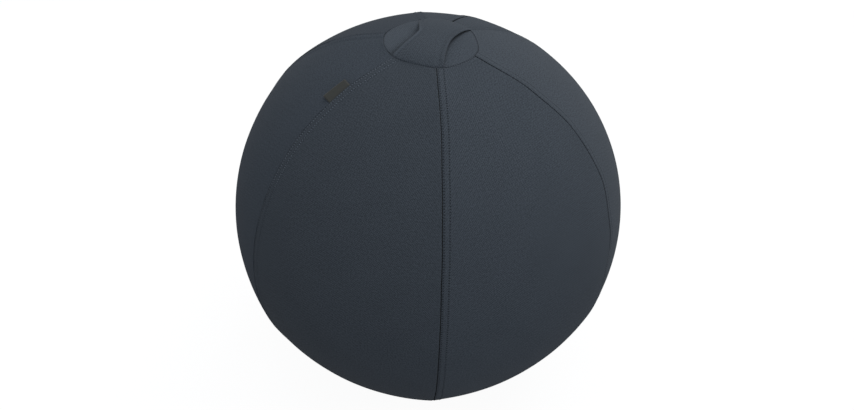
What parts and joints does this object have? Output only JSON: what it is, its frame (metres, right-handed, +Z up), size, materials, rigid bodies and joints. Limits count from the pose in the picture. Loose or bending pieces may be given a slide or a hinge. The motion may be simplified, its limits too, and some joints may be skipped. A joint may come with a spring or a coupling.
{
  "type": "sitting ball",
  "caption": "Round sitting ball: an air bladder in a sewn cloth cover of gores, with a carry strap over the top cap, a rear zip and a flat weighted base.",
  "frame": {"origin": "on the floor, under the middle of the flat base", "axes": "+Z up, -Y to the front gore that carries the front end of the strap, +Y to the rear zip"},
  "size_m": [0.6512, 0.6459, 0.6452],
  "materials": {
    "cover_cloth": "dark slate grey upholstery cloth with a fine weave",
    "handle_cloth": "the cover's cloth, doubled and hemmed",
    "tab_ribbon": "bare dark grey ribbon",
    "base_cloth": "dark grey cloth",
    "grip_rubber": "matte black non-slip rubber",
    "ballast_fill": "undyed cotton bag filled with sand",
    "pocket_lining": "thin dark lining cloth",
    "bladder_vinyl": "soft grey vinyl",
    "valve_plastic": "pale moulded plastic",
    "zip_tape": "woven zip tape in the cover's colour",
    "zip_teeth": "dark moulded teeth",
    "zip_metal": "dark painted zinc"
  },
  "bodies": {
    "ball": {"cover_panel_front": "cover_cloth", "cover_panel_front_right": "cover_cloth", "cover_panel_back_right": "cover_cloth", "cover_half_panel_right": "cover_cloth", "cover_half_panel_left": "cover_cloth", "cover_panel_back_left": "cover_cloth", "cover_panel_front_left": "cover_cloth", "top_cap": "cover_cloth", "side_tab": "tab_ribbon", "base_panel": "base_cloth", "grip_pad": "grip_rubber", "ballast_bag": "ballast_fill", "ballast_pocket": "pocket_lining", "bladder": "bladder_vinyl", "valve_collar": "valve_plastic", "valve_plug": "valve_plastic", "zip_tape_left": "zip_tape", "zip_tape_right": "zip_tape", "zip_teeth_left": "zip_teeth", "zip_teeth_right": "zip_teeth", "zip_end_stop": "zip_metal", "zip_lower_stop_left": "zip_metal", "zip_lower_stop_right": "zip_metal"},
    "strap": {"carry_handle": "handle_cloth"},
    "slider": {"zip_slider": "zip_metal"},
    "pull": {"zip_pull": "zip_metal"}
  },
  "joints": [
    {"name": "handle_lift", "type": "slide", "parent": "ball", "child": "strap", "axis": [0, 0, 1], "range_m": [0, 0.02], "deforming": ["carry_handle"]},
    {"name": "zip_slide", "type": "hinge", "parent": "ball", "child": "slider", "pos_m": [0, 0, 0.3123], "axis": [1, 0, 0], "range_deg": [0, 54.6], "deforming": ["zip_teeth_left", "zip_teeth_right"]},
    {"name": "zip_pull_swing", "type": "hinge", "parent": "slider", "child": "pull", "pos_m": [0, 0.2417, 0.09184], "axis": [1, 0, 0], "range_deg": [-42, 137]}
  ]
}
